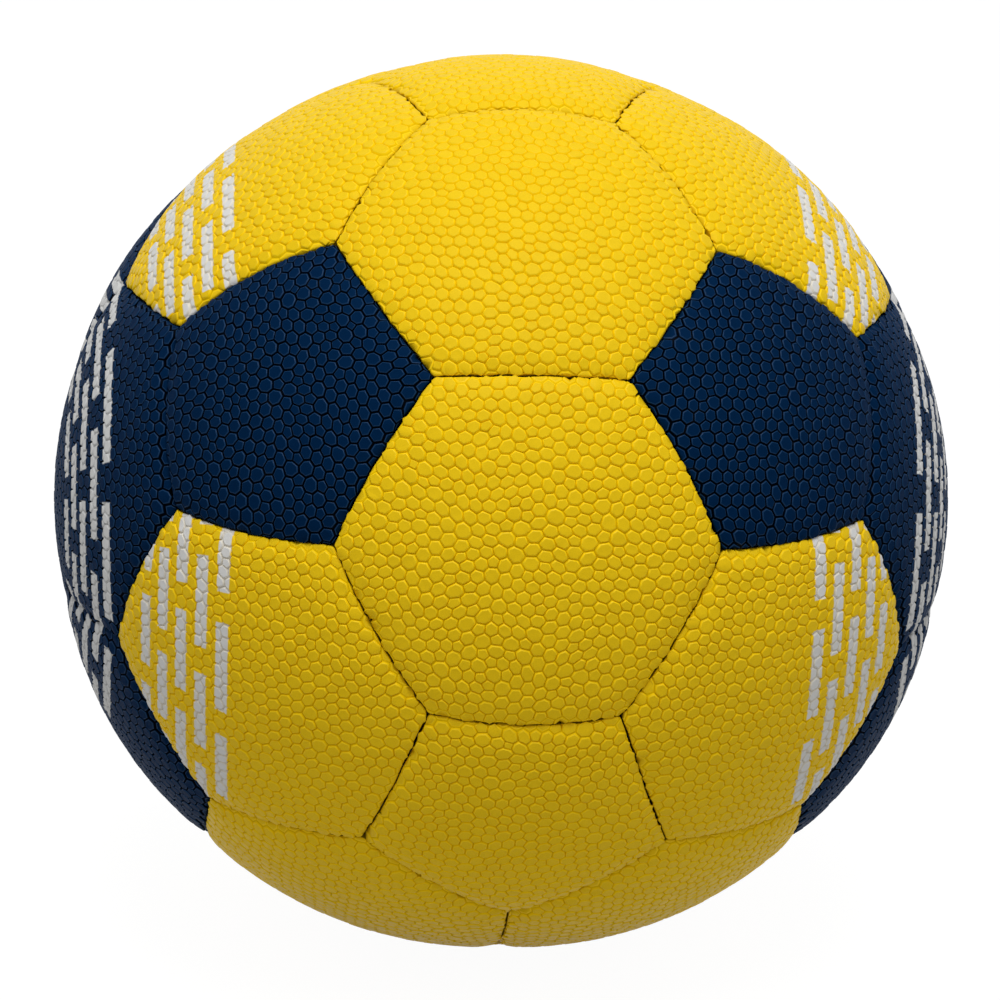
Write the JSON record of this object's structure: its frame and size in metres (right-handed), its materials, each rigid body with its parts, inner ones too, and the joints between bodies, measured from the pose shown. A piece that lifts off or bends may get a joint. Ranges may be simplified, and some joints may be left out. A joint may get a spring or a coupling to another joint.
{
  "type": "handball",
  "caption": "Round stitched handball: pebbled yellow and navy hexagon and pentagon panels over foam pads, cloth linings and a rubber bladder with a needle valve.",
  "frame": {"origin": "centre of the ball", "axes": "+Z through the middle of the top pentagon, -Y the front, the plane x = 0 mirrors the panels; the valve is at the rear"},
  "size_m": [0.1866, 0.1874, 0.1878],
  "materials": {
    "yellow_cover": "matte pebbled",
    "navy_cover": "matte pebbled",
    "pad_foam": "matte closed-cell foam",
    "lining_cloth": "plain weave",
    "seam_thread": "waxed",
    "bladder_rubber": "satin",
    "valve_rubber": "satin"
  },
  "bodies": {
    "root": {"bladder": "bladder_rubber", "hexagon_cloth_linings": "lining_cloth", "hexagon_foam_pads": "pad_foam", "navy_hexagon_panel_01": "navy_cover", "navy_hexagon_panel_02": "navy_cover", "navy_hexagon_panel_03": "navy_cover", "navy_hexagon_panel_04": "navy_cover", "navy_pentagon_panel_01": "navy_cover", "navy_pentagon_panel_02": "navy_cover", "navy_pentagon_panel_03": "navy_cover", "navy_pentagon_panel_04": "navy_cover", "navy_pentagon_panel_05": "navy_cover", "navy_pentagon_panel_06": "navy_cover", "navy_pentagon_panel_07": "navy_cover", "navy_pentagon_panel_08": "navy_cover", "pentagon_cloth_linings": "lining_cloth", "pentagon_foam_pads": "pad_foam", "seam_stitching": "seam_thread", "valve_core": "valve_rubber", "valve_housing": "valve_rubber", "yellow_hexagon_panel_01": "yellow_cover", "yellow_hexagon_panel_02": "yellow_cover", "yellow_hexagon_panel_03": "yellow_cover", "yellow_hexagon_panel_04": "yellow_cover", "yellow_hexagon_panel_05": "yellow_cover", "yellow_hexagon_panel_06": "yellow_cover", "yellow_hexagon_panel_07": "yellow_cover", "yellow_hexagon_panel_08": "yellow_cover", "yellow_hexagon_panel_09": "yellow_cover", "yellow_hexagon_panel_10": "yellow_cover", "yellow_hexagon_panel_11": "yellow_cover", "yellow_hexagon_panel_12": "yellow_cover", "yellow_hexagon_panel_13": "yellow_cover", "yellow_hexagon_panel_14": "yellow_cover", "yellow_hexagon_panel_15": "yellow_cover", "yellow_hexagon_panel_16": "yellow_cover", "yellow_pentagon_panel_01": "yellow_cover", "yellow_pentagon_panel_02": "yellow_cover", "yellow_pentagon_panel_03": "yellow_cover", "yellow_pentagon_panel_04": "yellow_cover"}
  },
  "joints": []
}
